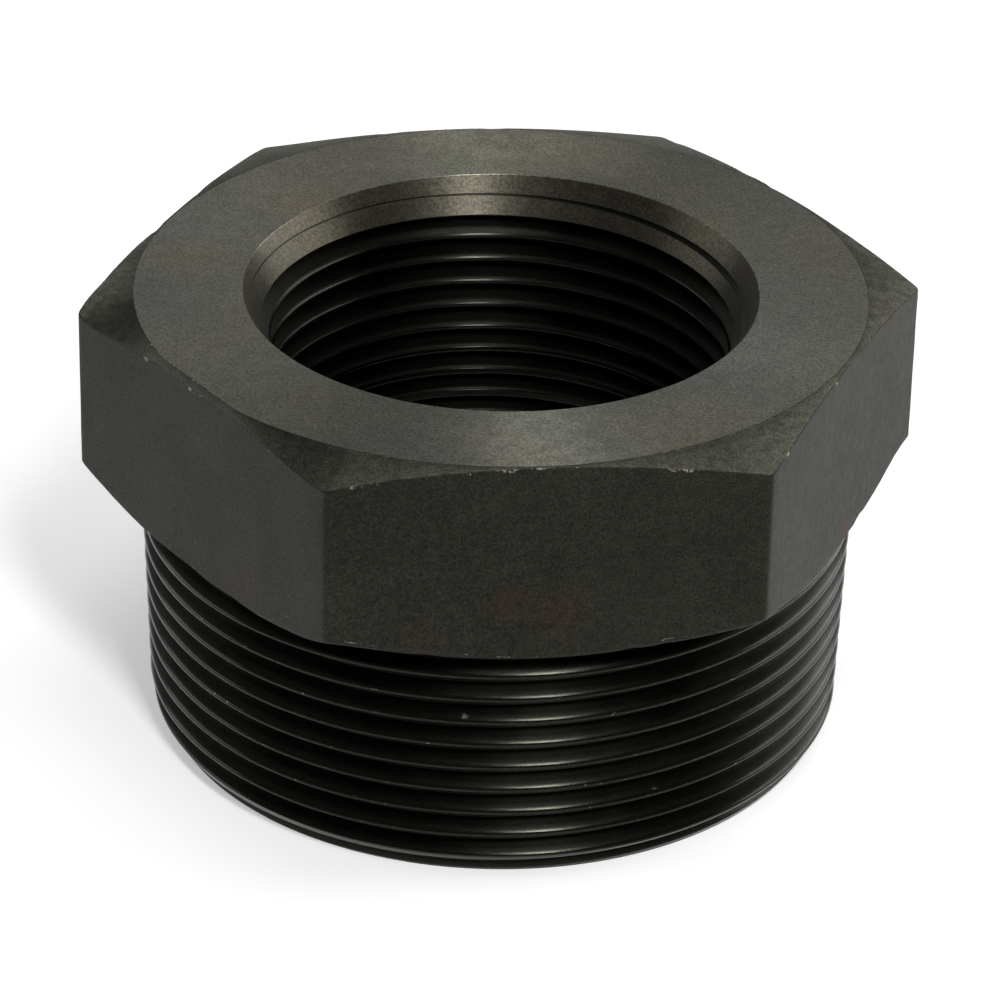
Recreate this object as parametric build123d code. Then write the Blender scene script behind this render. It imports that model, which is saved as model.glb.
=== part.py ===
from build123d import *
import math
import os

# A forged steel hex bushing for taper pipe thread: a 2 inch male end under a
# hexagon head, with a 1-1/4 inch female thread down the middle. It is one piece.
# All sizes are in millimetres. The male end face lies at z = 0, the axis is +Z,
# and two of the six wrench flats face -Y and +Y.
# The threads are plain envelopes: the male end is drawn over its crests, and the
# bore is the drilled hole that the female thread is cut into.

# hexagon head
flat_to_flat = 62.0             # across the wrench flats
head_height = 17.7              # from the shoulder to the top face
corner_round = 0.8              # radius on the six upright corners
top_chamfer_inset = 0.2         # top chamfer starts this far inside the flats
top_chamfer_angle = 16.0        # degrees, down from the top face
shoulder_chamfer_inset = 0.35   # the same for the chamfer under the head
shoulder_chamfer_angle = 27.0   # degrees, up from the shoulder

# male end
male_length = 21.8              # from the end face to the shoulder
male_end_diameter = 59.4        # over the thread crests, at the end face
pipe_taper = 1 / 16             # growth of the diameter along the axis
lead_length = 2.2               # length of the lead chamfer
lead_depth = 1.3                # how far the lead chamfer cuts in, radially
relief_width = 1.5              # run-out groove between thread and shoulder
relief_depth = 1.8              # radial, as deep as the thread

# bore
bore_diameter = 38.1            # drilled right through
mouth_step = 2.6                # how far the mouth flares out, radially
mouth_angle = 30.0              # degrees, between the flare and the axis
outlet_chamfer = 1.0            # 45 degree chamfer at the male end


def turned(points):
    """Revolve an outline of (radius, height) points about the Z axis."""
    return revolve(make_face(Plane.XZ * Polyline(*points, close=True)), Axis.Z)


def male_radius(height):
    """Radius over the thread crests at a height above the end face."""
    return (male_end_diameter + pipe_taper * height) / 2


def hex_head():
    """Hexagon with both ends turned to a chamfer, which curves its edges."""
    top = male_length + head_height
    flat_radius = flat_to_flat / 2
    blank_radius = flat_radius / math.cos(math.radians(30))
    top_circle = flat_radius - top_chamfer_inset
    shoulder_circle = flat_radius - shoulder_chamfer_inset
    top_drop = (blank_radius - top_circle) * math.tan(math.radians(top_chamfer_angle))
    shoulder_rise = (blank_radius - shoulder_circle) * math.tan(math.radians(shoulder_chamfer_angle))

    hexagon = RegularPolygon(flat_radius, 6, major_radius=False)
    prism = Pos(0, 0, male_length) * extrude(fillet(hexagon.vertices(), corner_round), head_height)
    blank = turned([
        (0, male_length),
        (shoulder_circle, male_length),
        (blank_radius, male_length + shoulder_rise),
        (blank_radius, top - top_drop),
        (top_circle, top),
        (0, top),
    ])
    return prism & blank


def male_end():
    """Tapered spigot with a lead chamfer and a run-out groove under the head."""
    groove_start = male_length - relief_width
    groove_radius = male_radius(male_length) - relief_depth
    groove_slope = male_radius(groove_start) - groove_radius
    return turned([
        (0, 0),
        (male_radius(0) - lead_depth, 0),
        (male_radius(lead_length), lead_length),
        (male_radius(groove_start - groove_slope), groove_start - groove_slope),
        (groove_radius, groove_start),
        (groove_radius, male_length),
        (0, male_length),
    ])


def bore():
    """Drilled hole with a flared mouth and a small chamfer at the far end."""
    top = male_length + head_height
    bore_radius = bore_diameter / 2
    flare_length = mouth_step / math.tan(math.radians(mouth_angle))
    return turned([
        (0, 0),
        (bore_radius + outlet_chamfer, 0),
        (bore_radius, outlet_chamfer),
        (bore_radius, top - flare_length),
        (bore_radius + mouth_step, top),
        (0, top),
    ])


hex_bushing = hex_head() + male_end() - bore()

os.makedirs("parts", exist_ok=True)
export_step(hex_bushing, "parts/hex_bushing.step")
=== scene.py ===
import math

import bpy
import numpy as np
from mathutils import Matrix


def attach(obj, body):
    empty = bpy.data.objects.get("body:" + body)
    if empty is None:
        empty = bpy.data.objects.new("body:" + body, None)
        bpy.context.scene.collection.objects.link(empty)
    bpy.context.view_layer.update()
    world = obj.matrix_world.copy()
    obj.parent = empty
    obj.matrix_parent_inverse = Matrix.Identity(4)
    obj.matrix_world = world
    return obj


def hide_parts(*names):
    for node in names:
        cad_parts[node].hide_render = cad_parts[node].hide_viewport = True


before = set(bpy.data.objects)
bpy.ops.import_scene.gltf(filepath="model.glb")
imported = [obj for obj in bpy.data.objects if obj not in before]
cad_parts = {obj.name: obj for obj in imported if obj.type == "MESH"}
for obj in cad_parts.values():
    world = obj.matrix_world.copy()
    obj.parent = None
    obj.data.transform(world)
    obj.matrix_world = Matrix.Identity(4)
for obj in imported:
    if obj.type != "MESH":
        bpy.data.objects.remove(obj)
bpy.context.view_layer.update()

print("frame loaded")

# Lengths are in millimetres and angles in degrees. The male end face is at z = 0,
# the axis is z, and wrench flats face -y and +y.
millimetre = 0.001

bushing = {
    "columns": 252,            # even steps round the axis
    "cornerSteps": (0.22, 0.44, 0.68, 0.95),   # extra columns each side of a corner
    "flatToFlat": 62.0,
    "topFace": 39.5,
    "shoulder": 21.8,
    "cornerPower": 200.0,      # higher is sharper: 200 is about a 0.8 mm radius
    # no forging is true: how far each flat, at -30, 30, 90 ... degrees, stands off and turns,
    # and how far its top edge drops and its lower edge lifts
    "flatOffset": (0.13, -0.07, 0.01, -0.06, -0.60, -0.02),
    "flatTurn": (0.87, -0.13, 0.10, -0.25, 0.19, 0.11),
    "topDrop": (0.0, -0.05, 0.0, -0.2, 0.9, 0.0),
    "underLift": (0.14, -1.2, 0.0, -0.33, -0.44, 0.0),
    "topInset": 0.2,           # the top chamfer starts this far inside the flats
    "topSlope": 16.0,
    "underInset": 0.35,
    "underSlope": 27.0,
    "leastRun": 0.05,          # a chamfer is worked out as at least this wide
    "leastRise": 0.03,         # and is at least this high
    "leastInset": 0.06,        # and its inner edge is at least this far inside the flats
    "edgeRound": 0.14,         # softening of the turned edges
    "slightRound": 0.05,       # of the corner under the head and the edge of the top face
    "lowerRound": 0.40,        # and of the forged edge at the bottom of the flats
    "seam": 0.12,              # width of the bevel under the head and of the first band of the flare
    "endRadius": 29.7,         # over the crests, at the end face
    "taper": 1 / 16,           # on the diameter
    "leadRadius": 28.4,
    "leadLength": 2.2,
    "endRows": (0.0, 0.02, 0.25, 0.5, 0.75, 0.97, 1.0),   # rows of the end face, as shares of its width
    "reliefStart": 20.3,
    "reliefDepth": 1.8,
    "reliefSlope": 1.4,        # radius lost for each millimetre of height where the groove starts
    "reliefRows": (0.15, 0.35, 0.6, 0.9, 1.2),            # heights above its start
    "mouthRadius": 21.65,
    "mouthSlope": 30.0,        # from the axis
    "drillRadius": 19.05,
    "outletChamfer": 1.0,
    # dents on the edges of the head: angle, half width in degrees, depth; the bare dashes they leave along
    # the front top edge are partly real wear and partly a painted highlight where the edge catches light
    "knocksAndGlints": ((-115.4, 1.1, 0.09), (-112.9, 0.8, 0.06), (-106.5, 1.2, 0.05), (-101.0, 1.5, 0.045),
               (-95.5, 1.6, 0.05), (-89.5, 1.4, 0.06), (-69.5, 1.2, 0.08), (-54.6, 0.8, 0.12),
               (-35.9, 0.7, 0.09), (-151.3, 0.8, 0.08), (-164.0, 0.8, 0.09)),
    # and random ones: how many, the deepest, and the seed
    "upperKnocks": (18, 0.14, 3),
    "lowerKnocks": (24, 0.18, 4),
    "mouthKnocks": (16, 0.08, 6),
    # how worn an edge is: the least, and the depth of a knock that adds one to it
    "upperWear": (0.46, 0.16),
    "lowerWear": (0.05, 0.9),
    "faceWear": (0.42, 0.3),
    "mouthWear": (0.42, 0.08),
    "endWear": 0.45,
    "flatPaintedLight": (1.20, 1.0, 1.05, 1.0, 1.22, 0.97),      # painted light: how much paler each flat is drawn, with the side flats at -30 and 210 degrees paler than the front one at 270
    "chamferToneAndShade": (5.0, 4.6, 5.0, 4.8, 1.7, 3.4),       # and its upper chamfer: the bare turned chamfer is paler than the scale, and the chamfers at 210 and 270 degrees are darker as painted shade
    "chamferShadeFade": (0.72, 0.5),     # painted shade: share of that at the top face, and how much more at the flat, so the chamfer is darker under the top edge
    "fadeWidth": 0.1,               # over at least this width
    # the flared mouth's tone: darker than the top face as painted shade in the recess, and a mark for its
    # browner, rougher finish
    "mouthToneAndShade": 0.36,
    "mouthShadeBottom": 36.0,            # the bore has the mouth's tone, darkened as painted shade, above this height
}

# how far the flats wander from true: a sum of sines, each shorter than the one before
forgedWave = {
    "height": 0.03,
    "gain": 1.6,
    "waves": 9,
    "longest": 26.0,
    "shorter": 0.75,
    "lastPhase": 6.28,         # a full turn
    "seed": 5,
}

maleThread = {
    "pitch": 25.4 / 11.5,
    "slope": 2.05,             # of a flank: radius lost for each millimetre of height
    "crestRound": 0.52,        # half width of the rounded crest
    "rows": (0.0, 0.11, 0.24, 0.41, 0.68, 1.02),   # rows of the mesh, as heights from a crest
    "crestAt": 2.05,           # height of a crest at the angle below
    "crestAngle": -96.75,
    "crestWear": 0.5,
    "wearDepth": 0.35,         # the wear ends this far below the crest
}

femaleThread = {
    "pitch": 25.4 / 11.5,
    "rootRadius": 20.99,       # at the top face
    "rootHalf": 0.04,          # half width of the flat root
    "slope": 2.1,
    "crestRound": 0.45,
    "rootAt": 37.95,           # height of a root at the angle below
    "rootAngle": 83.25,
    # the last turn is shallower by mouthFade, from fadeFrom over fadeLength, and runs out along the
    # flare above runOutFrom, where the root widens by runOut for each millimetre of height
    "mouthFade": 0.10,
    "fadeFrom": 37.1,
    "fadeLength": 0.9,
    "runOutFrom": 37.95,
    "runOut": 0.4,
    # rows of the mesh on each side of a root: at the edge of the groove and at these shares of it
    "beyondEdge": 1.1,
    "beforeEdge": 0.72,
    "crestGap": 0.02,          # and all this far from the crest between two grooves
    "crestSpread": 0.15,       # where two grooves meet, the edge row is up to this much nearer the root
    "flareBottom": 35.1,       # the flare shows between the grooves above this height
    "crestWear": 0.4,
    "wearDepth": 0.2,
    "wearTop": 35.0,           # crests are worn below this height
}


def sinCos(angle):
    return np.sin(np.radians(angle)), np.cos(np.radians(angle))


def columnAngles(s):
    # even steps of 360 / columns, and close ones round each corner at 0, 60, 120 ...
    even = np.arange(s["columns"]) * 360.0 / s["columns"]
    near = np.concatenate([np.negative(s["cornerSteps"]), s["cornerSteps"]])
    close = (np.arange(6)[:, None] * 60.0 + near[None, :]).ravel() % 360.0
    angles = np.unique(np.round(np.concatenate([even, close]), 6))
    return np.append(angles, 360.0)


def flatAngles(angle):
    # the angle from the middle of each flat, one row for a flat
    return angle[None, :] - (np.arange(6) * 60.0 - 30.0)[:, None]


def hexRadius(angle, s):
    # each flat alone is r = offset / cos(a); together they are
    # r = half (sum of (cos(a) half / offset)^power)^(-1 / power), half being half the width across
    # flats, which keeps to the nearest flat and rounds the corners
    half = s["flatToFlat"] / 2
    stand = half + np.array(s["flatOffset"])
    cosA = sinCos(flatAngles(angle) - np.array(s["flatTurn"])[:, None])[1]
    terms = (np.maximum(cosA, 0) / stand[:, None] * half) ** s["cornerPower"]
    return half * terms.sum(0) ** (-1 / s["cornerPower"])


def flatShare(angle, amounts, sharpness=40):
    # a value for each flat, passed smoothly from one to the next at the corners: weights cos(a)^sharpness
    weight = np.maximum(sinCos(flatAngles(angle))[1], 0) ** sharpness
    return np.array(amounts) @ (weight / weight.sum(0))


def wander(angle, z, drum, w):
    # gain times the mean of sin(way . (x, y, z) + phase) over random ways, (x, y, z) being the place on a
    # drum of that radius: smooth, and without a seam
    rng = np.random.default_rng(w["seed"])
    sinA, cosA = sinCos(angle)
    total = 0.0
    for k in range(w["waves"]):
        way = rng.normal(size=3)
        way *= 2 * math.pi / (w["longest"] * (w["shorter"] ** k)) / np.linalg.norm(way)
        along = drum * cosA * way[0] + drum * sinA * way[1] + z * way[2]
        total = total + np.sin(along + rng.uniform(0, w["lastPhase"])) / w["waves"]
    return total * w["gain"]


def knocked(angle, given, count, deepest, seed, narrowest=0.8, widest=1.8, least=0.1):
    # small dents, given and random: the sum of depth * exp(-((angle - centre) / width)^2)
    rng = np.random.default_rng(seed)
    centres = rng.uniform(0, 360, count)
    widths = rng.uniform(narrowest, widest, count)
    depths = deepest * rng.uniform(least, 1, count) ** 2
    total = np.zeros_like(angle)
    for centre, width, depth in [*given, *zip(centres, widths, depths)]:
        away = (angle - centre + 180) % 360 - 180
        total = total + depth * np.exp(-(away / width) ** 2)
    return total


def awayFrom(angle, z, t, phaseAngle, phaseHeight):
    # the height from the nearest turn of a helix through the given angle and height: how far
    # (z - height) / pitch - (angle - angle there) / 360 is from a whole number, times the pitch
    phase = (z - phaseHeight) / t["pitch"] - (angle - phaseAngle) / 360.0
    return np.abs(phase - np.round(phase)) * t["pitch"]


def helixRows(angles, low, high, t, phaseAngle, phaseHeight, offsets):
    # rows climb with the thread: z = height + pitch (k + (angle - phaseAngle) / 360) + offset; they are
    # held between low and high, and a level ring closes the section at each end
    climb = phaseHeight + t["pitch"] * (angles - phaseAngle) / 360.0
    lowest = math.floor((low - climb.max()) / t["pitch"]) - 1
    highest = math.ceil((high - climb.min()) / t["pitch"]) + 1
    base = climb[None, :] + t["pitch"] * np.arange(lowest, highest + 1)[:, None]
    z = (base[:, None, :] + offsets(base)).reshape(-1, len(angles))
    z = z[(z.max(1) > low) & (z.min(1) < high)]
    level = np.ones((1, len(angles)))
    return np.vstack([low * level, np.clip(z, low, high), high * level])


def crestRadius(z, s):
    # the tapered cone over the male crests: r = end radius + z taper / 2
    return s["endRadius"] + z * s["taper"] / 2


def maleRadius(angle, z, s, t):
    # crest radius less a V with a rounded tip, r = crest - slope (sqrt(away^2 + round^2) - round), cut
    # back by the lead cone at the end face; away is the height from the nearest crest
    away = awayFrom(angle, z, t, t["crestAngle"], t["crestAt"])
    fall = np.hypot(np.minimum(away, t["rows"][-1]), t["crestRound"]) - t["crestRound"]
    topOfLead = crestRadius(s["leadLength"], s)
    lead = s["leadRadius"] + z / s["leadLength"] * (topOfLead - s["leadRadius"])
    return np.minimum(crestRadius(z, s) - t["slope"] * fall, lead)


def mouthRadius(z, s):
    # the flared mouth: r = mouth radius - depth tan(slope)
    return s["mouthRadius"] - (s["topFace"] - z) * math.tan(math.radians(s["mouthSlope"]))


def rootRadius(z, s, t):
    # the tapered root of the bore's thread, r = root radius - depth taper / 2, a little shallower in its
    # last turn, which then runs out slowly along the flare
    fade = np.clip((z - t["fadeFrom"]) / t["fadeLength"], 0, 1)
    fade = fade - t["runOut"] / t["mouthFade"] * np.clip(z - t["runOutFrom"], 0, 1)
    return t["rootRadius"] - (s["topFace"] - z) * s["taper"] / 2 - t["mouthFade"] * fade


def grooveDrop(away, t):
    # how far a groove has risen from its root: slope (sqrt(half^2 + round^2) - sqrt(left^2 + round^2)),
    # half being half the pitch and left = half - away, so that the crest between two grooves is rounded
    half = t["pitch"] / 2
    left = half - np.minimum(away, half)
    return t["slope"] * (math.hypot(half, t["crestRound"]) - np.hypot(left, t["crestRound"]))


def boreRadius(angle, z, s, t):
    # the widest of the groove, r = root - drop, the flare, the outlet chamfer and the drilled hole
    away = awayFrom(angle, z, t, t["rootAngle"], t["rootAt"])
    groove = rootRadius(z, s, t) - grooveDrop(np.maximum(away - t["rootHalf"], 0), t)
    outlet = s["drillRadius"] + s["outletChamfer"] - z
    return np.maximum.reduce([groove, mouthRadius(z, s), outlet, np.full_like(groove, s["drillRadius"])])


def softened(points, stretches, longest=0.4):
    # a polyline of (r, z) for every column; each inner corner becomes the curve
    # (1-t)^2 a + 2 t (1-t) corner + t^2 b between a point just before it and one just after, which
    # are at most the share called longest of the shorter side away
    rows, edge, finish = [], [], []
    start = points[0]
    for k, (kind, cuts, softness) in enumerate(stretches, 1):
        back = points[k] - points[k - 1]
        length = np.hypot(back[0], back[1])
        lastOne = k == len(stretches)
        if lastOne:
            stop = points[k]
        else:
            ahead = points[k + 1] - points[k]
            lengthAhead = np.hypot(ahead[0], ahead[1])
            reach = np.minimum(softness, longest * np.minimum(length, lengthAhead))
            stop = points[k] - back / length * reach
            after = points[k] + ahead / lengthAhead * reach
        for share in cuts:
            rows.append(start + (stop - start) * share)
            ends = (k > 1 and share == 0) or (not lastOne and share == 1)
            edge.append(1.0 if ends else 0.0)
            finish.append(kind)
        if not lastOne:
            for t in (0.25, 0.5, 0.75):
                rows.append((1 - t) ** 2 * stop + 2 * t * (1 - t) * points[k] + t * t * after)
                edge.append(1.0)
                finish.append(kind)
            start = after
    return rows, edge, finish


turned, forged, threaded = 0, 1, 2         # places of the materials on the mesh
underside, chamfered, flared = 3, 4, 5     # parts of the head that share one of the finishes above
finishOf = {underside: forged, chamfered: forged, flared: turned}

# Each function below gives rows of the mesh as (radius, height, edge, toneAndPaintedLight, finish), where
# edge is how worn the row is and toneAndPaintedLight how pale, as its own colour and as painted light and
# shade, and every entry is one value or one for each column.


def endFaceRows(angles, s, male, female):
    # straight from the outlet chamfer out to the lead chamfer
    inner = boreRadius(angles, np.zeros_like(angles), s, female)
    outer = maleRadius(angles, np.zeros_like(angles), s, male)
    return [(inner + (outer - inner) * share, 0.0, s["endWear"] if share in (0, 1) else 0.0, 1.0, turned)
            for share in s["endRows"]]


def maleRows(angles, s, t):
    # rows that climb with the crests, at maleRadius, and are worn most on the crests
    offsets = np.sort(np.concatenate([np.negative(t["rows"][1:]), t["rows"]]))[None, :, None]
    z = helixRows(angles, 0.0, s["reliefStart"], t, t["crestAngle"], t["crestAt"], lambda base: offsets)
    r = maleRadius(angles[None, :], z, s, t)
    edge = t["crestWear"] * np.clip(1 - (crestRadius(z, s) - r) / t["wearDepth"], 0, 1)
    return [(r[k], z[k], edge[k], 1.0, threaded) for k in range(len(z))]


def reliefFloor(s):
    return crestRadius(s["reliefStart"], s) - s["reliefDepth"]


def reliefRows(angles, s, t):
    # the plain groove under the head: a slope down to its floor, which the thread runs out into
    rows = []
    for step in s["reliefRows"]:
        z = np.full_like(angles, s["reliefStart"] + step)
        slope = max(crestRadius(s["reliefStart"], s) - step * s["reliefSlope"], reliefFloor(s))
        rows.append((np.minimum(maleRadius(angles, z, s, t), slope), z, 0.0, 1.0, threaded))
    return rows


def wearFrom(depth, figures):
    # least + depth of the knock / depth that adds one, from 0 to 1
    least, full = figures
    return np.clip(least + depth / full, 0, 1)


def chamferRise(flat, inset, slope, more, s):
    # a chamfer is a cone, so it meets the flats at the height (flat radius - half + inset) tan(slope),
    # and a little more or less, because no forging is true
    run = np.maximum(s["leastRun"], flat - s["flatToFlat"] / 2 + inset)
    return np.maximum(s["leastRise"], run * math.tan(math.radians(slope)) + more)


def headRows(angles, s):
    # shoulder, lower chamfer, flat, upper chamfer, top face, and the first band of the flared mouth
    ones = np.ones_like(angles)
    half = s["flatToFlat"] / 2
    # the listed dents also leave bare worn dashes along the front top edge: partly wear, partly painted
    # highlight
    above = knocked(angles, s["knocksAndGlints"], *s["upperKnocks"])
    below = knocked(angles, (), *s["lowerKnocks"])
    around = knocked(angles, (), *s["mouthKnocks"])
    flat = hexRadius(angles, s)
    lift = flatShare(angles, s["underLift"])
    lowerEdge = s["shoulder"] + chamferRise(flat, s["underInset"], s["underSlope"], lift, s) + below
    drop = flatShare(angles, s["topDrop"])
    upperEdge = s["topFace"] - chamferRise(flat, s["topInset"], s["topSlope"], drop, s) - above
    shoulderEdge = np.minimum(half - s["underInset"], flat - s["leastInset"])
    topEdge = np.minimum(half - s["topInset"], flat - s["leastInset"]) - above
    flareStart = s["topFace"] - s["seam"]
    points = [
        np.array([reliefFloor(s) * ones, (s["shoulder"] - s["seam"]) * ones]),
        np.array([(reliefFloor(s) + s["seam"]) * ones, s["shoulder"] * ones]),
        np.array([shoulderEdge, s["shoulder"] * ones]),
        np.array([flat, lowerEdge]),
        np.array([flat, upperEdge]),
        np.array([topEdge, s["topFace"] * ones]),
        np.array([s["mouthRadius"] + around, s["topFace"] * ones]),
        np.array([mouthRadius(flareStart, s) * ones, flareStart * ones]),
    ]
    # for each stretch between two points: what it is, its rows as shares of its length, and how far the
    # corner at its end is softened
    stretches = [
        (threaded, (0,), s["slightRound"]),
        (underside, (0, 0.5, 1), s["edgeRound"]),
        (underside, (0, 0.1, 0.5, 0.9, 1), s["lowerRound"]),
        (forged, (0, 0.008, 0.05, 0.2, 0.4, 0.6, 0.8, 0.95, 0.992, 1), s["edgeRound"]),
        (chamfered, (0, 0.06, 0.5, 0.94, 1), s["slightRound"]),
        (turned, (0, 0.015, 0.1, 0.4, 0.7, 0.9, 0.985, 1), s["edgeRound"]),
        (flared, (0, 1), 0.0),
    ]
    wearOf = {
        threaded: 0.0,
        underside: wearFrom(below, s["lowerWear"]),
        forged: wearFrom(above, s["upperWear"]),
        chamfered: wearFrom(above, s["upperWear"]),
        turned: wearFrom(above, s["faceWear"]),
        flared: wearFrom(around, s["mouthWear"]),
    }
    # tones of the parts: painted light on the flats, the chamfers' own paleness with painted shade, painted
    # shade in the mouth
    toneOf = {
        forged: flatShare(angles, s["flatPaintedLight"]),
        chamfered: flatShare(angles, s["chamferToneAndShade"]),
        flared: s["mouthToneAndShade"],
    }
    rows = []
    for (r, z), edge, kind in zip(*softened(points, stretches)):
        toneAndPaintedLight = toneOf.get(kind, 1.0)
        if kind == chamfered:     # painted shade: darker under the top edge, paler towards the flat
            least, more = s["chamferShadeFade"]
            width = np.maximum(flat - topEdge, s["fadeWidth"])
            toneAndPaintedLight = toneAndPaintedLight * (least + more * np.clip((r - topEdge) / width, 0, 1))
        if kind == forged:
            r = r + forgedWave["height"] * wander(angles, z, half, forgedWave)
        rows.append((r, z, edge * wearOf[kind], toneAndPaintedLight, finishOf.get(kind, kind)))
    return rows


def crossing(depth, lean, t, first=0.5, nearest=0.01, chords=8):
    # the distance from the root at which drop + lean * distance is the depth, found by repeated chords
    distance = np.full_like(depth, first)
    for _ in range(chords):
        distance = np.clip(distance, nearest, t["pitch"] / 2)
        distance = depth * distance / (grooveDrop(distance, t) + lean * distance)
    return distance + t["rootHalf"]


def grooveOffsets(base, s, t):
    # heights from the root at which rows follow the groove: at each side its root, a place on its flank,
    # its edge, where it meets the flare or, further down, the drilled hole, and a place beyond
    flareSlope = math.tan(math.radians(s["mouthSlope"]))
    gap = np.maximum(rootRadius(base, s, t) - mouthRadius(base, s), 0)
    reach = rootRadius(base, s, t) - s["drillRadius"]
    above = np.minimum(crossing(gap, flareSlope, t), crossing(reach, -s["taper"] / 2, t))
    below = np.minimum(crossing(gap, -flareSlope, t), crossing(reach, s["taper"] / 2, t))
    most = t["pitch"] / 2 - t["crestGap"]
    rows = []
    for side, edge in ((-1, below), (1, above)):
        held = np.minimum(edge, most)
        rows.append(side * np.minimum(t["beyondEdge"] * edge, most))
        rows.append(side * (held - np.clip(edge - most, 0, t["crestSpread"])))
        rows.append(side * t["beforeEdge"] * held)
        rows.append(side * t["rootHalf"] * np.ones_like(edge))
    return np.sort(np.stack(rows, axis=1), axis=1)


def boreRows(angles, s, t, close=0.01):
    # down the bore, from the first band of the flare to the end face, at boreRadius; the faces that lie as
    # close as this to the flare have its finish
    top = s["topFace"] - s["seam"]
    z = helixRows(angles, 0.0, top, t, t["rootAngle"], t["rootAt"], lambda base: grooveOffsets(base, s, t))
    z = z[::-1]
    r = boreRadius(angles[None, :], z, s, t)
    middle = (z + np.vstack([z[1:], z[-1:]])) / 2
    offFlare = np.abs(boreRadius(angles[None, :], middle, s, t) - mouthRadius(middle, s))
    finish = np.where((offFlare < close) & (middle > t["flareBottom"]), turned, threaded)
    crest = np.maximum(rootRadius(z, s, t) - grooveDrop(t["pitch"] / 2, t), s["drillRadius"])
    edge = t["crestWear"] * (np.clip(1 - (r - crest) / t["wearDepth"], 0, 1) * (z < t["wearTop"]))
    # painted shade: the top of the bore is darkened like the flare
    toneAndPaintedLight = np.where(z > s["mouthShadeBottom"], s["mouthToneAndShade"], 1.0)
    return [(r[k], z[k], edge[k], toneAndPaintedLight[k], finish[k]) for k in range(len(z))]


def bushingGrid(s, male, female):
    # from the outlet out over the end face, up the outside, over the head and down the bore
    angles = columnAngles(s)
    rows = endFaceRows(angles, s, male, female) + maleRows(angles, s, male) + reliefRows(angles, s, male)
    rows += headRows(angles, s) + boreRows(angles, s, female)
    sheets = {}
    for k, name in enumerate(("radius", "height", "edge", "toneAndPaintedLight", "finish")):
        sheets[name] = np.array([row[k] * np.ones_like(angles) for row in rows])
    return angles, sheets


def smoothNormals(points, quads):
    # the normal of a point is the sum of the area vectors of the quads round it, at unit length, an area
    # vector being diagonal x diagonal; the few triangles are left out
    corner = points[quads]
    area = np.cross(corner[:, 2] - corner[:, 0], corner[:, 3] - corner[:, 1])
    total = np.zeros_like(points)
    for k in range(4):
        np.add.at(total, quads[:, k], area)
    return total / np.linalg.norm(total, axis=1)[:, None]


def weldedMesh(name, angles, sheets, decimals=5):
    # the grid (r cos(a), r sin(a), z) closes on itself both ways: points equal to so many decimals
    # become one, and quads that fold up are dropped or become triangles
    sinA, cosA = sinCos(angles)
    points = np.stack([sheets["radius"] * cosA, sheets["radius"] * sinA, sheets["height"]], axis=-1)
    listed = np.round(points.reshape(-1, 3), decimals)
    unique, first, same = np.unique(listed, axis=0, return_index=True, return_inverse=True)
    lower = same.reshape(sheets["radius"].shape)
    upper = np.roll(lower, -1, axis=0)
    quads = np.stack([lower[:, :-1], lower[:, 1:], upper[:, 1:], upper[:, :-1]], axis=-1).reshape(-1, 4)
    kinds = sheets["finish"][:, :-1].ravel()
    folded = quads == np.roll(quads, -1, axis=1)
    whole = folded.sum(1) == 0
    three = folded.sum(1) == 1
    triangles = quads[three][~folded[three]].reshape(-1, 3)
    loops = np.concatenate([quads[whole].ravel(), triangles.ravel()])
    sizes = np.concatenate([np.full(whole.sum(), 4), np.full(three.sum(), 3)])
    kinds = np.concatenate([kinds[whole], kinds[three]])

    mesh = bpy.data.meshes.new(name)
    mesh.vertices.add(len(unique))
    mesh.vertices.foreach_set("co", (unique * millimetre).astype(np.float32).ravel())
    mesh.loops.add(len(loops))
    mesh.loops.foreach_set("vertex_index", loops.astype(np.int32))
    mesh.polygons.add(len(sizes))
    mesh.polygons.foreach_set("loop_start", np.concatenate([[0], np.cumsum(sizes)[:-1]]).astype(np.int32))
    mesh.polygons.foreach_set("material_index", kinds.astype(np.int32))
    mesh.polygons.foreach_set("use_smooth", np.ones(len(sizes), bool))
    for label in ("edge", "toneAndPaintedLight"):
        layer = mesh.attributes.new(label, "FLOAT", "POINT")
        layer.data.foreach_set("value", sheets[label].reshape(-1)[first].astype(np.float32))
    mesh.update(calc_edges=True)
    mesh.validate(verbose=True)
    mesh.normals_split_custom_set_from_vertices(smoothNormals(unique, quads[whole]).tolist())
    print(name, "points", len(unique), "triangles", int(2 * whole.sum() + three.sum()))
    return mesh


mesh = weldedMesh("bushing", *bushingGrid(bushing, maleThread, femaleThread))
piece = bpy.data.objects.new("bushing", mesh)
bpy.context.scene.collection.objects.link(piece)
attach(piece, "root")
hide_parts("hex_bushing")
print("bushing made")

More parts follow.
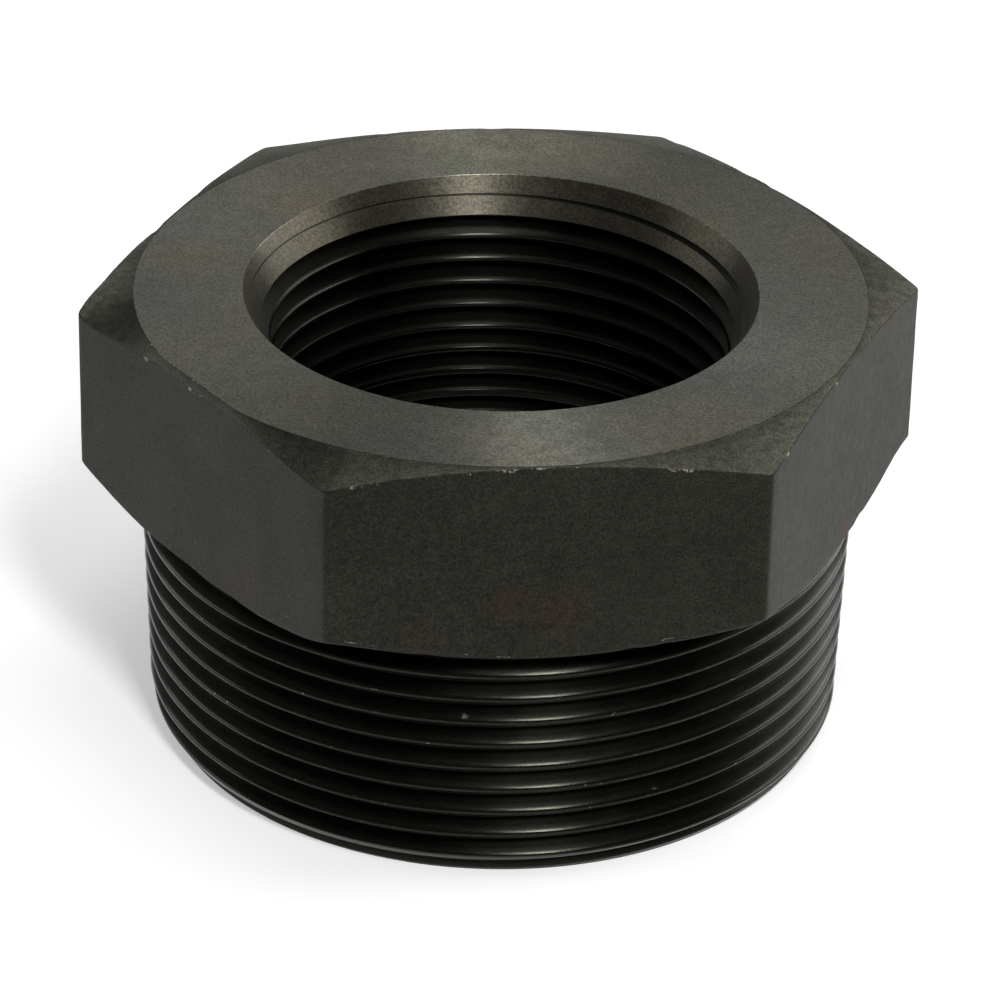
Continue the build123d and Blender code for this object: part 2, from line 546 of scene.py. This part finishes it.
# Finishes. Colours are linear, scales are in features per metre and bump heights in metres. Places on
# the bushing are (centre in mm), radius in mm and perhaps a strength; a shade is the pair of factors
# that a noise moves a colour between.
turnedSteel = {
    "olive": (0.212, 0.219, 0.178, 1),
    "brown": (0.262, 0.222, 0.160, 1),
    "blue": (0.192, 0.207, 0.198, 1),
    "dulled": (0.140, 0.150, 0.132, 1),
    "rubbed": (0.330, 0.310, 0.245, 1),
    "worn": (0.46, 0.43, 0.37, 1),
    "wornRagged": 2.4,         # how far a noise breaks up the worn edges
    "wornFrom": 0.8,           # and how worn an edge is before it shows
    "mottleScale": 42.0,
    "mottleContrast": 0.2,
    "mottleShare": 0.5,
    "grainScale": 4300.0,
    "grainShade": (0.6, 1.4),
    "cloudScale": 900.0,
    "cloudShade": (0.91, 1.09),
    "tints": (((-25.7, 6.8, 39.5), 5.0, 0.6), ((29.3, 5.9, 39.5), 7.0, 0.4),
              ((12.3, -30.0, 39.5), 6.0, 0.5), ((-15.5, 17.0, 39.5), 5.0, 0.5),
              ((4.0, 27.0, 39.5), 5.0, 0.4), ((18.0, 10.0, 38.5), 5.0, 0.6)),
    "tintScale": 160.0,        # of the ragged outline
    "dullPlaces": (((-12.0, -26.0, 39.5), 16.0, 0.6), ((-31.0, 2.0, 39.5), 8.0, 0.3),
                   ((20.0, -20.0, 39.5), 9.0, 0.2)),
    "rubbedPlaces": (((10.0, 25.5, 39.5), 9.0, 0.9), ((12.5, -26.5, 39.5), 9.0, 0.5),
                     ((-14.0, 22.0, 39.5), 10.0, 0.4)),
    "placeScale": 90.0,
    "roughness": (0.35, 0.39),
    "mouthBrown": 0.5,         # the flared mouth is this much browner
    "mouthRough": 0.11,        # and this much rougher
    "anisotropy": 0.83,
    "ringsPerMillimetre": 3.2,
    "ringAlong": 0.4,          # how much of the height counts as radius, so that the flare has rings too
    "ringHeight": 0.0000022,
    "grainHeight": 0.0000035,
}

forgedSteel = {
    "dark": (0.0236, 0.0240, 0.0188, 1),
    "pale": (0.0304, 0.0305, 0.0243, 1),
    "mottleScale": 150.0,
    "mottleContrast": 0.22,
    "rust": (0.085, 0.030, 0.022, 1),
    "worn": (0.20, 0.19, 0.165, 1),
    "wornRagged": 2.4,
    "wornFrom": 0.8,
    "grainScale": 5400.0,
    "grainShade": (0.56, 1.44),
    "grainHeight": 0.000010,
    "pitScale": 1100.0,
    "pitShade": (0.82, 1.18),
    "pitHeight": 0.000012,
    "roughness": (0.54, 0.64),
    "rustSpots": (((1.6, -31.0, 26.0), 3.4, 0.24), ((-2.6, -31.0, 27.6), 2.6, 0.22),
                  ((-23.3, -21.6, 23.8), 3.4, 0.25), ((27.7, -14.0, 23.1), 1.6, 0.8),
                  ((-9.0, -31.0, 24.5), 2.6, 0.15), ((32.4, -5.8, 38.6), 3.0, 0.25),
                  ((14.0, 31.0, 30.0), 5.0, 0.3), ((-31.0, 8.0, 28.0), 4.0, 0.3)),
    "rustScale": 260.0,
    "rustLeast": 0.3,          # between the pits the rust is this faint
}

threadSteel = {
    "black": (0.0134, 0.0137, 0.0114, 1),
    "dull": (0.0196, 0.0199, 0.0161, 1),
    "worn": (0.26, 0.24, 0.20, 1),
    "wornRagged": 2.0,
    "wornFrom": 0.76,
    "oilScale": 150.0,
    "oilContrast": 0.35,
    "grainScale": 9000.0,
    "grainShade": (0.6, 1.4),
    "cloudScale": 900.0,
    "roughness": (0.27, 0.36),
    "crestRough": 0.17,
    "crestWear": (0.05, 0.45),      # how worn a crest is where it begins and where it is smoothest
    "anisotropy": 0.3,
    "cutsPerMillimetre": 6.0,
    "cutHeight": 0.0000020,
    "grainHeight": 0.0000050,
}

# small bare places that all three finishes share; the last two are the inputs of the specks group
bareSpots = {
    "chips": (((-5.6, -29.4, 15.9), 0.40), ((27.6, -11.4, 8.4), 0.35), ((-27.0, -12.9, 16.1), 0.35),
              ((-16.9, 11.4, 32.3), 0.45), ((-16.9, 11.4, 30.0), 0.40), ((20.0, 22.0, 12.0), 0.4),
              ((-8.0, 29.0, 9.0), 0.4)),
    "chipScale": 1800.0,
    "speckStrength": 0.5,
    "dots": {"Scale": 240.0, "Size": 0.035, "Share": 0.16},
    "scratches": {"Stretch": (0.3, 1.0, 1.6), "Scale": 330.0, "Size": 0.045, "Share": 0.08},
}

# the values that most of a noise lies between, or the tones of the mouth, with its painted shade, and of
# the rest
grainRange = (0.25, 0.75)
cloudRange = (0.3, 0.7)
pitRange = (0.35, 0.65)
oilRange = (0.1, 0.9)
toneRange = (0.3, 0.8)


def feed(tree, socket, value):
    # a number or colour is set on the socket, and another node's output is linked to it
    if isinstance(value, (int, float, tuple)):
        socket.default_value = value
    else:
        tree.links.new(value, socket)


def addNode(tree, kind, links=None, **values):
    # one node: values set its properties or inputs by name, links feed its inputs by name or number
    made = tree.nodes.new(kind)
    for key, value in values.items():
        if hasattr(made, key):
            setattr(made, key, value)
        else:
            made.inputs[key].default_value = value
    for key, source in (links or {}).items():
        feed(tree, made.inputs[key], source)
    return made


def newGroup(name, inputs, outputs):
    # inputs are names with their defaults: a number makes a float input and three make a vector
    tree = bpy.data.node_groups.new(name, "ShaderNodeTree")
    for label, value in inputs.items():
        kind = "NodeSocketFloat" if isinstance(value, float) else "NodeSocketVector"
        tree.interface.new_socket(label, in_out="INPUT", socket_type=kind).default_value = value
    for label in outputs:
        tree.interface.new_socket(label, in_out="OUTPUT", socket_type="NodeSocketFloat")
    return tree, tree.nodes.new("NodeGroupInput").outputs, tree.nodes.new("NodeGroupOutput").inputs


def useGroup(tree, group, links, **values):
    return addNode(tree, "ShaderNodeGroup", links, node_tree=group, **values).outputs


def maths(tree, operation, first, second):
    return addNode(tree, "ShaderNodeMath", {0: first, 1: second}, operation=operation).outputs[0]


def vectorMaths(tree, operation, first, second):
    return addNode(tree, "ShaderNodeVectorMath", {0: first, 1: second}, operation=operation).outputs


def between(tree, value, low, high, toLow=0.0, toHigh=1.0):
    # toLow below low, toHigh above high, and a smooth step between
    ends = {"Value": value, "From Min": low, "From Max": high, "To Min": toLow, "To Max": toHigh}
    return addNode(tree, "ShaderNodeMapRange", ends, interpolation_type="SMOOTHSTEP").outputs["Result"]


def noise(tree, place, scale, detail, rough, distortion=0.0):
    links = {"Vector": place, "Scale": scale}
    values = {"Detail": detail, "Roughness": rough, "Distortion": distortion}
    return addNode(tree, "ShaderNodeTexNoise", links, **values).outputs["Fac"]


def blend(tree, amount, first, second):
    # inputs 0, 6 and 7 of a colour mix are its amount and its two colours
    return addNode(tree, "ShaderNodeMix", {0: amount, 6: first, 7: second}, data_type="RGBA").outputs[2]


def attribute(tree, name):
    return addNode(tree, "ShaderNodeAttribute", attribute_name=name).outputs["Fac"]


# cloudy patches: Patch is a soft mask from one noise, Second from another with the place shifted
mottle, given, result = newGroup(
    "mottle", {"Place": (0, 0, 0), "Scale": 60.0, "Contrast": 0.12}, ["Patch", "Second"])
low = maths(mottle, "SUBTRACT", 0.5, given["Contrast"])
high = maths(mottle, "ADD", 0.5, given["Contrast"])
shifted = vectorMaths(mottle, "ADD", given["Place"], (0.37, -0.21, 0.13))[0]
for label, place in (("Patch", given["Place"]), ("Second", shifted)):
    clouds = noise(mottle, place, given["Scale"], detail=5.0, rough=0.6, distortion=0.3)
    mottle.links.new(between(mottle, clouds, low, high), result[label])

# worn edges: the edge attribute and, where there is an edge, a noise added together; what is over Start
# begins to be bare metal, and is wholly so a little above it
edgeWear, given, result = newGroup(
    "edge wear", {"Place": (0, 0, 0), "Scale": 2400.0, "Ragged": 1.2, "Start": 0.62}, ["Mask"])
edgeValue = attribute(edgeWear, "edge")
broken = noise(edgeWear, given["Place"], given["Scale"], detail=4.0, rough=0.65)
broken = maths(edgeWear, "SUBTRACT", broken, 0.5)
broken = maths(edgeWear, "MULTIPLY", broken, given["Ragged"])
broken = maths(edgeWear, "MULTIPLY", broken, between(edgeWear, edgeValue, 0.02, 0.2))
full = maths(edgeWear, "ADD", given["Start"], 0.2)
bare = between(edgeWear, maths(edgeWear, "ADD", edgeValue, broken), given["Start"], full)
edgeWear.links.new(bare, result["Mask"])

# spot: 1 in the middle 0.15 of the radius and 0 at the radius; Push is added to the distance, so that a
# noise there makes the outline ragged
spot, given, result = newGroup(
    "spot", {"Place": (0, 0, 0), "Centre": (0, 0, 0), "Radius": 0.001, "Push": 0.0}, ["Mask"])
away = vectorMaths(spot, "DISTANCE", given["Place"], given["Centre"])["Value"]
away = maths(spot, "ADD", maths(spot, "DIVIDE", away, given["Radius"]), given["Push"])
spot.links.new(between(spot, away, 0.15, 1.0, 1.0, 0.0), result["Mask"])

# specks: cells of a Voronoi pattern, where that Share of them, chosen by their random value, has a dot
# that fades over the outer half of its Size; Stretch makes scratches of the dots
specks, given, result = newGroup(
    "specks",
    {"Place": (0, 0, 0), "Stretch": (1, 1, 1), "Scale": 300.0, "Size": 0.06, "Share": 0.3},
    ["Mask"],
)
stretched = vectorMaths(specks, "MULTIPLY", given["Place"], given["Stretch"])[0]
cells = addNode(specks, "ShaderNodeTexVoronoi", {"Vector": stretched, "Scale": given["Scale"]})
chosen = addNode(specks, "ShaderNodeSeparateColor", {0: cells.outputs["Color"]}).outputs[0]
kept = maths(specks, "LESS_THAN", chosen, given["Share"])
core = maths(specks, "MULTIPLY", given["Size"], 0.5)
dot = between(specks, cells.outputs["Distance"], core, given["Size"], 1.0, 0.0)
specks.links.new(maths(specks, "MULTIPLY", kept, dot), result["Mask"])

# grain: a fine noise and a coarser one, for colour and for the height of a bump
grain, given, result = newGroup(
    "grain", {"Place": (0, 0, 0), "Fine": 2400.0, "Coarse": 420.0}, ["Fine", "Coarse"])
grain.links.new(noise(grain, given["Place"], given["Fine"], detail=3.0, rough=0.6), result["Fine"])
grain.links.new(noise(grain, given["Place"], given["Coarse"], detail=4.0, rough=0.55), result["Coarse"])

# cutter marks: a noise along one length only, which is the distance from the axis plus Along Axis times
# the height, so it makes rings
cutMarks, given, result = newGroup(
    "cutter marks", {"Place": (0, 0, 0), "Per Metre": 3000.0, "Along Axis": 0.0}, ["Height"])
parts = addNode(cutMarks, "ShaderNodeSeparateXYZ", {0: given["Place"]}).outputs
squares = [maths(cutMarks, "MULTIPLY", parts[k], parts[k]) for k in (0, 1)]
squareSum = maths(cutMarks, "ADD", *squares)
distance = addNode(cutMarks, "ShaderNodeMath", {0: squareSum}, operation="SQRT").outputs[0]
travel = maths(cutMarks, "ADD", distance, maths(cutMarks, "MULTIPLY", parts[2], given["Along Axis"]))
marks = addNode(cutMarks, "ShaderNodeTexNoise", noise_dimensions="1D", Detail=3.0, Scale=1.0)
cutMarks.links.new(maths(cutMarks, "MULTIPLY", travel, given["Per Metre"]), marks.inputs["W"])
cutMarks.links.new(marks.outputs["Fac"], result["Height"])


def newMaterial(name):
    made = bpy.data.materials.new(name)
    made.use_nodes = True
    tree = made.node_tree
    shader = tree.nodes["Principled BSDF"]
    shader.inputs["Metallic"].default_value = 1.0
    place = tree.nodes.new("ShaderNodeTexCoord").outputs["Object"]
    return made, tree, shader, place


def finishShader(tree, shader, colour, rough, bumps):
    # bumps are pairs of a pattern and its height in metres, one over the next
    normal = None
    for pattern, height in bumps:
        made = addNode(tree, "ShaderNodeBump", {"Height": pattern}, Distance=height, Strength=1.0)
        if normal is not None:
            tree.links.new(normal, made.inputs["Normal"])
        normal = made.outputs["Normal"]
    for label, source in (("Base Color", colour), ("Roughness", rough), ("Normal", normal)):
        tree.links.new(source, shader.inputs[label])


def scaledColour(tree, colour, *factors):
    for factor in factors:
        links = {0: colour, "Scale": factor}
        colour = addNode(tree, "ShaderNodeVectorMath", links, operation="SCALE").outputs[0]
    return colour


def spots(tree, place, listed, scale, ragged=1.6):
    # the strongest of the listed spots; one noise makes the outlines of all of them ragged
    push = maths(tree, "SUBTRACT", noise(tree, place, scale, detail=3.0, rough=0.6), 0.5)
    links = {"Place": place, "Push": maths(tree, "MULTIPLY", push, ragged)}
    total = None
    for centre, size, *strength in listed:
        metres = [v * millimetre for v in centre]
        mask = useGroup(tree, spot, links, Centre=metres, Radius=size * millimetre)["Mask"]
        if strength:
            mask = maths(tree, "MULTIPLY", mask, strength[0])
        total = mask if total is None else maths(tree, "MAXIMUM", total, mask)
    return total


def wornColour(tree, place, colour, s):
    # bare metal over the colour: worn edges, chips, specks or a few scratches, whichever is strongest
    edges = useGroup(tree, edgeWear, {"Place": place}, Ragged=s["wornRagged"], Start=s["wornFrom"])["Mask"]
    mask = maths(tree, "MAXIMUM", edges, spots(tree, place, bareSpots["chips"], bareSpots["chipScale"]))
    dots = useGroup(tree, specks, {"Place": place}, **bareSpots["dots"])["Mask"]
    scratches = useGroup(tree, specks, {"Place": place}, **bareSpots["scratches"])["Mask"]
    small = maths(tree, "MULTIPLY", maths(tree, "MAXIMUM", dots, scratches), bareSpots["speckStrength"])
    return blend(tree, maths(tree, "MAXIMUM", mask, small), colour, s["worn"])


def turnedMaterial(s):
    # olive steel with brown and blue patches, times the part's tone, which holds the painted shade of the
    # mouth, and a fine grain, bare where worn
    made, tree, shader, place = newMaterial("turned steel")
    patches = useGroup(tree, mottle, {"Place": place}, Scale=s["mottleScale"], Contrast=s["mottleContrast"])
    fine = useGroup(tree, grain, {"Place": place}, Fine=s["grainScale"], Coarse=s["cloudScale"])
    browner = maths(tree, "MULTIPLY", patches["Patch"], s["mottleShare"])
    bluer = maths(tree, "MULTIPLY", patches["Second"], s["mottleShare"])
    colour = blend(tree, bluer, blend(tree, browner, s["olive"], s["brown"]), s["blue"])
    colour = blend(tree, spots(tree, place, s["dullPlaces"], s["placeScale"]), colour, s["dulled"])
    colour = blend(tree, spots(tree, place, s["rubbedPlaces"], s["placeScale"]), colour, s["rubbed"])
    # the part's tone, with painted shade in the mouth
    toneAndPaintedLight = attribute(tree, "toneAndPaintedLight")
    brown = spots(tree, place, s["tints"], s["tintScale"])
    brown = maths(tree, "MAXIMUM", brown, between(tree, toneAndPaintedLight, *toneRange, s["mouthBrown"], 0.0))
    colour = blend(tree, brown, colour, s["brown"])
    cloudShade = between(tree, fine["Coarse"], *cloudRange, *s["cloudShade"])
    grainShade = between(tree, fine["Fine"], *grainRange, *s["grainShade"])
    colour = wornColour(tree, place, scaledColour(tree, colour, toneAndPaintedLight, cloudShade, grainShade), s)
    rough = between(tree, fine["Coarse"], *cloudRange, *s["roughness"])
    rough = maths(tree, "ADD", rough, between(tree, toneAndPaintedLight, *toneRange, s["mouthRough"], 0.0))
    spacing = {"Per Metre": s["ringsPerMillimetre"] / millimetre, "Along Axis": s["ringAlong"]}
    rings = useGroup(tree, cutMarks, {"Place": place}, **spacing)["Height"]
    bumps = [(rings, s["ringHeight"]), (fine["Fine"], s["grainHeight"])]
    finishShader(tree, shader, colour, rough, bumps)
    shader.inputs["Anisotropic"].default_value = s["anisotropy"]
    tree.links.new(vectorMaths(tree, "MULTIPLY", place, (1, 1, 0))[0], shader.inputs["Tangent"])
    return made


def forgedMaterial(s):
    # near-black scale between two close tones, times two grains and the tone of each flat and chamfer,
    # which holds painted light and shade, with faint rusty spots, bare where worn
    made, tree, shader, place = newMaterial("forged steel")
    patches = useGroup(tree, mottle, {"Place": place}, Scale=s["mottleScale"], Contrast=s["mottleContrast"])
    fine = useGroup(tree, grain, {"Place": place}, Fine=s["grainScale"], Coarse=s["pitScale"])
    colour = blend(tree, patches["Patch"], s["dark"], s["pale"])
    grainShade = between(tree, fine["Fine"], *grainRange, *s["grainShade"])
    pitShade = between(tree, fine["Coarse"], *cloudRange, *s["pitShade"])
    # the tone of each flat and chamfer, with painted light and shade
    colour = scaledColour(tree, colour, attribute(tree, "toneAndPaintedLight"), grainShade, pitShade)
    rusty = spots(tree, place, s["rustSpots"], s["rustScale"])
    rusty = maths(tree, "MULTIPLY", rusty, between(tree, fine["Coarse"], *pitRange, s["rustLeast"], 1.0))
    colour = wornColour(tree, place, blend(tree, rusty, colour, s["rust"]), s)
    rough = between(tree, fine["Coarse"], *cloudRange, *s["roughness"])
    bumps = [(fine["Coarse"], s["pitHeight"]), (fine["Fine"], s["grainHeight"])]
    finishShader(tree, shader, colour, rough, bumps)
    return made


def threadMaterial(s):
    # black steel, a little duller in patches, smoother on the crests, bare where worn
    made, tree, shader, place = newMaterial("thread steel")
    patches = useGroup(tree, mottle, {"Place": place}, Scale=s["oilScale"], Contrast=s["oilContrast"])
    fine = useGroup(tree, grain, {"Place": place}, Fine=s["grainScale"], Coarse=s["cloudScale"])["Fine"]
    colour = blend(tree, patches["Patch"], s["black"], s["dull"])
    colour = scaledColour(tree, colour, between(tree, fine, *grainRange, *s["grainShade"]))
    colour = wornColour(tree, place, colour, s)
    crest = between(tree, attribute(tree, "edge"), *s["crestWear"])
    rough = between(tree, patches["Second"], *oilRange, *s["roughness"])
    rough = maths(tree, "MULTIPLY", rough, maths(tree, "SUBTRACT", 1.0, crest))
    rough = maths(tree, "ADD", rough, maths(tree, "MULTIPLY", crest, s["crestRough"]))
    spacing = {"Per Metre": s["cutsPerMillimetre"] / millimetre, "Along Axis": 1.0}
    cuts = useGroup(tree, cutMarks, {"Place": place}, **spacing)["Height"]
    finishShader(tree, shader, colour, rough, [(cuts, s["cutHeight"]), (fine, s["grainHeight"])])
    shader.inputs["Anisotropic"].default_value = s["anisotropy"]
    upright = addNode(tree, "ShaderNodeCombineXYZ", Z=1.0)
    tree.links.new(upright.outputs[0], shader.inputs["Tangent"])
    return made


for made in (turnedMaterial(turnedSteel), forgedMaterial(forgedSteel), threadMaterial(threadSteel)):
    mesh.materials.append(made)
print("finishes made")

# The stage: lengths here are in metres.
studio = {
    "floorHalf": 3.0,
    "floorColour": (0.80, 0.80, 0.80, 1),
    "floorRough": 0.9,
    "floorGlow": 0.38,         # seen by camera, mirror and glass rays only; makes the floor read as white
    "glowColour": (1, 1, 1, 1),
    "worldColour": (0.23, 0.23, 0.23, 1),
}

# soft boxes: azimuth and elevation, width and height in m, power in W
lamps = {
    "key": (-79.0, 48.0, 0.13, 0.26, 4.6),
    "overhead": (-20.0, 84.0, 0.25, 0.25, 1.2),
    "right": (12.0, 15.0, 0.8, 0.4, 5.1),
    "left": (160.0, 10.0, 0.6, 0.28, 1.55),
    "back": (88.0, 32.0, 1.2, 0.5, 0.30),
}

camera = {
    "azimuth": -96.746,
    "elevation": 29.625,
    "roll": 1.314,
    "distance": 0.436757,
    "target": (0.000300, -0.000035, 0.019013),
    "focal": 5093.177,         # in pixels of a picture 1000 wide
    "pictureWidth": 1000,
    "sensorWidth": 36.0,       # in mm
    "nearest": 0.01,
}


def addFloor(s):
    h = s["floorHalf"]
    floorMesh = bpy.data.meshes.new("floor")
    floorMesh.from_pydata([(-h, -h, 0), (h, -h, 0), (h, h, 0), (-h, h, 0)], [], [(0, 1, 2, 3)])
    floor = bpy.data.objects.new("floor", floorMesh)
    bpy.context.scene.collection.objects.link(floor)
    paint = bpy.data.materials.new("floor paint")
    paint.use_nodes = True
    tree = paint.node_tree
    inputs = tree.nodes["Principled BSDF"].inputs
    inputs["Base Color"].default_value = s["floorColour"]
    inputs["Roughness"].default_value = s["floorRough"]
    inputs["Emission Color"].default_value = s["glowColour"]
    rays = tree.nodes.new("ShaderNodeLightPath").outputs
    seen = maths(tree, "MAXIMUM", rays["Is Camera Ray"], rays["Is Glossy Ray"])
    seen = maths(tree, "MAXIMUM", seen, rays["Is Transmission Ray"])
    tree.links.new(maths(tree, "MULTIPLY", seen, s["floorGlow"]), inputs["Emission Strength"])
    floorMesh.materials.append(paint)


def addWorld(s):
    world = bpy.data.worlds.new("studio")
    bpy.context.scene.world = world
    world.use_nodes = True
    world.node_tree.nodes["Background"].inputs["Color"].default_value = s["worldColour"]


def direction(azimuth, elevation):
    # (cos(azimuth) cos(elevation), sin(azimuth) cos(elevation), sin(elevation))
    sinA, cosA = sinCos(azimuth)
    sinE, cosE = sinCos(elevation)
    return np.array([cosA * cosE, sinA * cosE, sinE])


def addLamp(name, azimuth, elevation, width, height, power, distance=0.9, aim=(0, 0, 0.02)):
    # stands at that distance from the aim in the middle of the bushing, and faces it
    light = bpy.data.lights.new(name, "AREA")
    light.shape = "RECTANGLE"
    light.size = width
    light.size_y = height
    light.energy = power
    holder = bpy.data.objects.new(name, light)
    back = direction(azimuth, elevation)
    holder.location = np.array(aim) + distance * back
    side = np.array([-back[1], back[0], 0.0]) / np.hypot(back[0], back[1])
    turn = Matrix(np.column_stack([side, np.cross(back, side), back]).tolist())
    holder.rotation_euler = turn.to_euler()
    bpy.context.scene.collection.objects.link(holder)


def addCamera(c):
    # looks from its azimuth and elevation at the target, turned by roll about its line of sight
    sinA, cosA = sinCos(c["azimuth"])
    sinR, cosR = sinCos(c["roll"])
    back = direction(c["azimuth"], c["elevation"])
    side = np.array([-sinA, cosA, 0.0])
    up = np.cross(back, side)
    right = side * cosR + up * sinR
    upward = -side * sinR + up * cosR
    data = bpy.data.cameras.new("camera")
    data.sensor_width = c["sensorWidth"]
    data.lens = c["focal"] * data.sensor_width / c["pictureWidth"]
    data.clip_start = c["nearest"]
    eye = bpy.data.objects.new("camera", data)
    stand = np.array(c["target"]) + c["distance"] * back
    turn = Matrix(np.column_stack([right, upward, back]).tolist()).to_4x4()
    eye.matrix_world = Matrix.Translation(stand) @ turn
    bpy.context.scene.collection.objects.link(eye)
    bpy.context.scene.camera = eye


addFloor(studio)
addWorld(studio)
for name, figures in lamps.items():
    addLamp(name, *figures)
addCamera(camera)
bpy.context.scene.view_settings.view_transform = "Standard"
print("stage, lamps and camera set")
